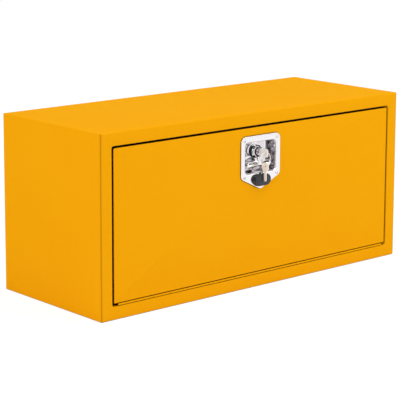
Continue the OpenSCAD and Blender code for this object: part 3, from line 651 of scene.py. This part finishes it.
# Painted shade: the frame shades the door's edges, so they are painted near black up to the bend,
# and the gap looks black.
door_shaded_coat = shaded_coat("amber_coat_with_painted_shade_on_door", 0.66, 0.8)
door_pan = new_piece("door_pan", points, faces, "door", door_shaded_coat)
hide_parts("door_skin")
dress(amber_coat, "amber_powder_coat", "left_door_stiffener", "right_door_stiffener")


# Latch plate: pressed from one sheet of stainless steel and polished. The rim is flat, the mouth
# of the recess rolls in over a soft radius, and the recess's lower wall slopes forward.
def polished_metal(name, code, shade_code, roughness, line_size, direction, bump, metallic=1):
    """Polished or chromed metal: faint lines one way, small clouds and a few fine scratches."""
    material, tree, shader = new_material(name)
    place = add(tree, "TexCoord").outputs["Object"]
    stretch = add(tree, "Mapping", {"Vector": place, "Scale": direction})
    lines = add(
        tree, "TexNoise",
        {"Vector": stretch.outputs[0], "Scale": 1 / line_size, "Detail": 3, "Roughness": 0.6},
    )
    cloud = add(tree, "TexNoise", {"Vector": place, "Scale": 1 / (9 * mm), "Detail": 3})
    colour = add(
        tree, "Mix", {0: cloud.outputs["Fac"], 6: tone(shade_code), 7: tone(code)}, data_type="RGBA"
    )
    tree.links.new(colour.outputs[2], shader.inputs["Base Color"])
    shader.inputs["Metallic"].default_value = metallic
    scatter = add(
        tree, "MapRange",
        {"Value": lines.outputs["Fac"], "To Min": roughness * 0.7, "To Max": roughness * 1.4},
    )
    tree.links.new(scatter.outputs[0], shader.inputs["Roughness"])
    fine = add(
        tree, "Bump", {"Height": lines.outputs["Fac"], "Strength": bump, "Distance": 0.03 * mm}
    )
    soft = add(
        tree, "Bump",
        {
            "Height": cloud.outputs["Fac"], "Strength": bump, "Distance": 0.25 * mm,
            "Normal": fine.outputs[0],
        },
    )
    tree.links.new(soft.outputs[0], shader.inputs["Normal"])
    return material


# Polished stainless steel mirrors the room in pale greys, faintly drawn out along the polish.
stainless = polished_metal(
    "polished_stainless", "#f4f1f3", "#e9e6e8", 0.1, 1.2 * mm, (1, 1, 8), 0.08
)

plate_low, plate_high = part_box("latch_plate")
plate_half = plate_high.x
plate_top = plate_high.z
plate_point = 29 * mm
plate_tip = plate_top - 125 * mm
plate_thick = 1.5 * mm
plate_front = -2.3 * mm
plate_back = plate_front + plate_thick
recess_back = plate_high.y - front
recess_rise = 15 * mm
side_taper = 2.3 * mm
mouth_roll = 3.4 * mm
floor_roll = 4 * mm
spindle_low, spindle_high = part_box("latch_spindle")
spindle_z = (spindle_low.z + spindle_high.z) / 2
neck_r = 9.45 * mm
plate_shape = (
    [(-plate_half, plate_tip + plate_point), (0, plate_tip), (plate_half, plate_tip + plate_point),
     (plate_half, plate_top), (-plate_half, plate_top)],
    [12 * mm, 12 * mm, 12 * mm, 14 * mm, 14 * mm],
)


def recess_shape(depth):
    """The recess's outline at a depth: its side walls taper and its lower wall rises."""
    rise = recess_rise * max(depth, 0) / recess_back
    half = recess_half - side_taper * max(depth, 0) / recess_back
    return rectangle(-half, half, recess_low + rise, recess_high), [8 * mm] * 4


def circle(radius, centre, count=48):
    """Points round a circle in X and Z."""
    turns = [math.tau * k / count for k in range(count)]
    return [
        Vector((centre[0] + radius * math.cos(a), centre[1] + radius * math.sin(a))) for a in turns
    ]


axis_place = (0, spindle_z)
inner_back = recess_back - plate_thick
wall_depths = (22 * mm, 14 * mm, 6 * mm)
plate_rings = [(circle(neck_r, axis_place), inner_back)]
for grow, depth in bend(-floor_roll, inner_back - floor_roll, floor_roll, 90, 0):
    plate_rings.append((outline(*recess_shape(inner_back), grow=grow), depth))
for depth in wall_depths:
    plate_rings.append((outline(*recess_shape(depth)), depth))
for grow, depth in bend(mouth_roll, plate_front + mouth_roll, mouth_roll, 180, 270, 6):
    plate_rings.append((outline(*recess_shape(0), grow=grow), depth))
edge_roll = 0.7 * mm
for grow, depth in bend(-edge_roll, plate_front + edge_roll, edge_roll, -90, 0, 3):
    plate_rings.append((outline(*plate_shape, grow=grow), depth))
plate_rings.append((outline(*plate_shape), plate_back))
under_roll = mouth_roll - plate_thick
for grow, depth in bend(mouth_roll, plate_front + mouth_roll, under_roll, 270, 180, 3):
    plate_rings.append((outline(*recess_shape(0), grow=grow), depth))
for depth in reversed(wall_depths):
    plate_rings.append((outline(*recess_shape(depth), grow=plate_thick), depth))
for grow, depth in bend(-floor_roll, inner_back - floor_roll, floor_roll + plate_thick, 0, 90, 3):
    plate_rings.append((outline(*recess_shape(inner_back), grow=grow), depth))
plate_rings.append((circle(neck_r, axis_place), recess_back))
angles = rays_to([o for o, depth in plate_rings], axis_place)
points, faces = stack([ring_at(o, depth, axis_place, angles) for o, depth in plate_rings])
pressed_plate = new_piece(
    "latch_plate_pressed", points, faces, "door", stainless, 50
)
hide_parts("latch_plate")

# Gasket: a thin sheet of the seal's rubber, cut to the plate and squeezed between it and the
# door. It shows as a dark line round the plate.
dress(seal_rubber, "black_rubber", "latch_plate_gasket")

# Plate screws: four pan heads with a cross recess, turned from stainless steel. They go through
# the plate near its corners and hold it to the door.
screw_low, screw_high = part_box("latch_plate_screws")
screw_shank_r = 2 * mm
screw_head_r = 3.4 * mm
screw_head_h = 1.4 * mm
screw_flat_r = 2.1 * mm
cross_in = 0.45 * mm
cross_out = 1.7 * mm
cross_floor_h = 0.4 * mm
cross_floor_size = 0.7


def cross_outline(centre, out, half):
    """Points of a plus sign in X and Z."""
    corner = [(out, -half), (out, half), (half, half)]
    made = []
    for turn in range(4):
        c, s = round(math.cos(turn * math.pi / 2)), round(math.sin(turn * math.pi / 2))
        made += [Vector((centre[0] + c * x - s * z, centre[1] + s * x + c * z)) for x, z in corner]
    return made


parts = []
for x in (screw_low.x + screw_head_r, screw_high.x - screw_head_r):
    for z in (screw_low.z + screw_head_r, screw_high.z - screw_head_r):
        centre = (x, z)
        steps = [(screw_shank_r, screw_high.y - front), (screw_shank_r, plate_front)]
        steps += [(screw_head_r, plate_front)]
        for angle in [math.radians(a) for a in (20, 45, 70)]:
            radius = screw_head_r - 1.1 * mm * (1 - math.cos(angle))
            steps.append((radius, plate_front - screw_head_h * math.sin(angle)))
        steps.append((screw_flat_r, plate_front - screw_head_h))
        rings = [(circle(radius, centre, 24), depth) for radius, depth in steps]
        for size, height in ((1, screw_head_h), (cross_floor_size, cross_floor_h)):
            cross = cross_outline(centre, cross_out * size, cross_in * size)
            rings.append((cross, plate_front - height))
        angles = rays_to([o for o, depth in rings], centre)
        parts.append(stack([ring_at(o, depth, centre, angles) for o, depth in rings], closed=False))
points, faces = joined(parts)
# Turned stainless steel is a shade greyer than the polished plate, with a soft glint.
turned_stainless = polished_metal(
    "turned_stainless", "#e4e4e8", "#d2d2d8", 0.28, 0.6 * mm, (1, 1, 1), 0.3
)
screws = new_piece(
    "latch_plate_pan_screws", points, faces, "door", turned_stainless
)
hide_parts("latch_plate_screws")


# Spindle, its housing and the cam: turned and stamped steel, zinc plated behind the plate and
# chromed in front of it, held by a hexagon nut, a clip, a washer and a nut.
# Chrome on a casting mirrors with hard contrast, and the cast surface bends the streaks.
chrome = polished_metal("cast_chrome", "#f8f8f9", "#e2e3e5", 0.08, 3 * mm, (1, 1, 1), 0.15)
# Dull zinc plate is a cloudy mid grey.
dark_zinc = plated_steel("dull_zinc_plate", "#a4a7a9", 0.42, 3 * mm)
dress(dark_zinc, "zinc_plated", "spindle_housing", "housing_nut", "spindle_clip")
dress(dark_zinc, "zinc_plated", "latch_cam", "cam_nut")
dress(zinc_plate, "zinc_plated", "cam_washer", "cap_rivet")
dress(chrome, "cast_chrome", "latch_spindle", "handle_trunnions")
soften(0.5 * mm, "latch_spindle", "latch_cam")
soften(0.3 * mm, "housing_nut", "cam_nut", "spindle_housing", "cam_washer")

# Wiper ring: a thin sleeve of the same rubber as the seal, stretched over the yoke's collar and
# cut away at the top with it. It keeps the wet out of the handle's joint.
sleeve_front = 12.2 * mm
sleeve_back = 21.8 * mm
sleeve_notch = 9.6 * mm
sleeve_notch_depth = 20.7 * mm
sleeve_r = 15.4 * mm
sleeve_out = 15.9 * mm
at_the_top = math.radians(90)
turns = [at_the_top + math.radians(3 * k) for k in range(120)]
edge_turn = math.asin(sleeve_notch / sleeve_r)
for side in (-1, 1):
    turns += [at_the_top + side * (edge_turn + nudge) for nudge in (-0.004, 0.004)]
turns = sorted(a % math.tau for a in turns)
rings = [[], [], [], [], []]
for a in turns:
    at_top = abs(a - at_the_top) < edge_turn
    near = sleeve_notch_depth if at_top else sleeve_front
    section = [(sleeve_r, near), (sleeve_out - 0.2 * mm, near), (sleeve_out, near + 0.3 * mm)]
    section += [(sleeve_out, sleeve_back), (sleeve_r, sleeve_back)]
    for ring, (radius, depth) in zip(rings, section):
        ring.append((radius * math.cos(a), front + depth, spindle_z + radius * math.sin(a)))
points, faces = stack(rings)
new_piece("wiper_ring", points, faces, "spindle", seal_rubber, 50)

# T-handle: cast in zinc alloy and chromed, with a round head for the lock, a short stem and a
# waisted bar. Its parts flow into each other, so they are joined and smoothed as one casting.
lock_low, lock_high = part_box("lock_cylinder")
lock_r = (lock_high.x - lock_low.x) / 2
handle_low, handle_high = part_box("t_handle")
head_r = 12 * mm
head_front = 8 * mm
head_back = 16 * mm
bar_half = handle_high.x
bar_z = spindle_z - 28.5 * mm
bar_depth = 4 * mm
bar_steps = 60
bar_segments = 40
grip_at = 0.62
ridge = 1.36
# The head is a ring round the lock: the turned section's end caps come off, and its last ring
# joins its first.
bore_r = lock_r + 0.1 * mm
head_section = [(bore_r, head_back), (head_r - 0.8 * mm, head_back), (head_r, head_back - 0.8 * mm)]
head_section += [(head_r, head_front + 1.2 * mm), (head_r - 0.4 * mm, head_front + 0.4 * mm)]
head_section += [(head_r - 1.3 * mm, head_front), (bore_r, head_front)]
head_segments = 64
head_points, head_faces = turned(head_section, (0, front, spindle_z), (0, 1, 0), head_segments)
head_faces = head_faces[:-2]
last = len(head_points) - head_segments
for i in range(head_segments):
    j = (i + 1) % head_segments
    head_faces.append((i, j, last + j, last + i))
# The bar is slimmest at the stem, swells to a grip on each side and rounds off at its ends. It is
# ridged along its front, so that it mirrors in bands.
bar_rings = []
for i in range(bar_steps + 1):
    x = -math.cos(math.pi * i / bar_steps)
    swell = min(1, abs(x) / grip_at)
    swell *= swell * (3 - 2 * swell)
    past_grip = max(0, abs(x) - grip_at) / (1 - grip_at)
    end = max(0.01, math.sqrt(max(0, 1 - past_grip ** 3)))
    high, deep = (3.8 + 3.3 * swell) * mm * end, (3.3 + 0.6 * swell) * mm * end
    ring = []
    for k in range(bar_segments):
        c, s = math.cos(math.tau * k / bar_segments), math.sin(math.tau * k / bar_segments)
        y = math.copysign(abs(c) ** ridge, c) * deep
        z = math.copysign(abs(s) ** ridge, s) * high
        ring.append((x * bar_half, front + bar_depth + y, bar_z + z))
    bar_rings.append(ring)
# The stem is waisted, and runs back under the head.
stem_top = spindle_z - lock_r - 2.2 * mm
stem_near = front + 0.4 * mm
stem_rings = []
for share in (0, 0.2, 0.4, 0.6, 0.8, 1):
    half = (4.5 + 2.2 * abs(2 * share - 1) ** 2.4) * mm
    z = bar_z + (stem_top - bar_z) * share
    far = front + (7.7 + 3.4 * max(0, share - 0.55) / 0.45) * mm
    right_side = [(half - 1.8 * mm, stem_near), (half, stem_near + 1.5 * mm)]
    right_side += [(half, far - 1 * mm), (half - 1 * mm, far)]
    section = right_side + [(-x, y) for x, y in reversed(right_side)]
    stem_rings.append([(x, y, z) for x, y in section])
casting = [(head_points, head_faces)]
casting += [stack(bar_rings, closed=False), stack(stem_rings, closed=False)]
points, faces = joined(casting)
t_bar = new_piece("t_handle_casting", points, faces, "handle", chrome)
fuse = t_bar.modifiers.new("one_casting", "REMESH")
fuse.mode = "VOXEL"
fuse.voxel_size = 0.42 * mm
fuse.use_smooth_shade = True
ease = t_bar.modifiers.new("cast_fillets", "SMOOTH")
ease.factor = 0.5
ease.iterations = 8
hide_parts("t_handle")


# Lock: a die-cast and chromed cylinder, pressed into the handle's head, with a plug that the key
# turns. A moulded rubber seal keeps the wet out, brown-black like an old tyre.
dress(chrome, "cast_chrome", "lock_cylinder", "lock_plug")
brown_rubber = black_rubber_finish("brown_black_rubber", "#2c1c11", 0.5, 0.8 * mm)
dress(brown_rubber, "black_rubber", "lock_seal")
soften(0.9 * mm, "lock_cylinder")
soften(0.3 * mm, "lock_plug")

# Keys and ring: two flat keys, stamped from brass sheet and plated with nickel. One is in the
# lock, and the other hangs from it on a split ring of spring wire.
# Satin nickel plate looks creamy and almost white, and bright nickel is whiter and glints.
nickel = polished_metal("nickel_plate", "#fff9f0", "#fdf5ea", 0.42, 1.5 * mm, (1, 6, 1), 0.3, 0.15)
bright_nickel = polished_metal(
    "bright_nickel_plate", "#ffffff", "#f4f6fa", 0.28, 1.5 * mm, (1, 6, 1), 0.2, 0.18
)
dress(nickel, "nickel_key", "spare_key", "key_ring")
dress(bright_nickel, "nickel_key", "inserted_key")
soften(0.3 * mm, "inserted_key", "spare_key")

# Dust cap: a moulded rubber cap that hangs from a strap under the recess, held by a small rivet.
# It has a rolled edge, a raised rim and a slightly crowned face.
cap_low, cap_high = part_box("dust_cap")
cap_back = cap_high.y - front
cap_front = cap_low.y - front
cap_height = 28 * mm
cap_corners = rectangle(cap_low.x, cap_high.x, cap_low.z, cap_low.z + cap_height)
cap_shape = (cap_corners, [cap_height / 2 - 0.1 * mm] * 4)
cap_centre = ((cap_low.x + cap_high.x) / 2, cap_low.z + cap_height / 2)
cap_wall = 2.2 * mm
cap_steps = [(-11 * mm, cap_front + 3 * mm), (-cap_wall - 1 * mm, cap_front + 3 * mm)]
cap_steps += [(-cap_wall, cap_front + 4 * mm), (-cap_wall, cap_back - 0.3 * mm)]
cap_steps += [(-cap_wall + 0.3 * mm, cap_back), (-0.5 * mm, cap_back)]
cap_steps += [(0, cap_back - 0.5 * mm), (0, cap_back - 1.6 * mm), (-0.6 * mm, cap_back - 2 * mm)]
cap_steps += bend(-3 * mm, cap_front + 3 * mm, 2.4 * mm, 0, -90, 6)
# Inside the rolled edge: a raised rim with a groove before it, then the crowned face.
for inset, height in ((4.6, 0.9), (5.2, 1.2), (6, 0.7), (8, 0.3), (11, 0.05), (14, 0)):
    cap_steps.append((-inset * mm, cap_front + height * mm))
cap_outlines = [outline(*cap_shape, grow=g, steps=10) for g, d in cap_steps]
rivet_low, rivet_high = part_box("cap_rivet")
rivet_place = Vector(((rivet_low.x + rivet_high.x) / 2, 0, (rivet_low.z + rivet_high.z) / 2))
rivet_notch = 3.3 * mm
notch_outline = circle(rivet_notch, (rivet_place.x, rivet_place.z), 24)
angles = rays_to(cap_outlines + [notch_outline], cap_centre)
rings = []
for shape, (grow, depth) in zip(cap_outlines, cap_steps):
    ring = []
    for x, y, z in ring_at(shape, depth, cap_centre, angles):
        away = Vector((x, 0, z)) - rivet_place
        if away.length < rivet_notch and depth < cap_back - 0.2 * mm:
            away = away.normalized() * rivet_notch
        ring.append((rivet_place.x + away.x, y, rivet_place.z + away.z))
    rings.append(ring)
strap_half = 4.5 * mm
strap_thick = 1.8 * mm
strap_round = 0.4 * mm
strap_low = cap_centre[1] + 9 * mm
strap_corners = rectangle(
    cap_centre[0] - strap_half, cap_centre[0] + strap_half, strap_low, cap_high.z
)
strap_shape = (strap_corners, [2.5 * mm] * 4)
strap_centre = (cap_centre[0], (strap_low + cap_high.z) / 2)
strap_steps = [(-strap_round, cap_back), (0, cap_back - strap_round)]
strap_steps += [(0, cap_back - strap_thick + strap_round), (-strap_round, cap_back - strap_thick)]
strap_outlines = [outline(*strap_shape, grow=g) for g, d in strap_steps]
angles = rays_to(strap_outlines, strap_centre)
strap = [ring_at(o, d, strap_centre, angles) for o, (g, d) in zip(strap_outlines, strap_steps)]
points, faces = joined([stack(rings, closed=False), stack(strap, closed=False)])
# Moulded rubber is smoother than the extruded seal, with a soft grey sheen.
moulded_rubber = black_rubber_finish("moulded_black_rubber", "#1b1b25", 0.24, 1.0 * mm)
cap = new_piece("dust_cap_moulding", points, faces, "cap", moulded_rubber, 40)
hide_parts("dust_cap")
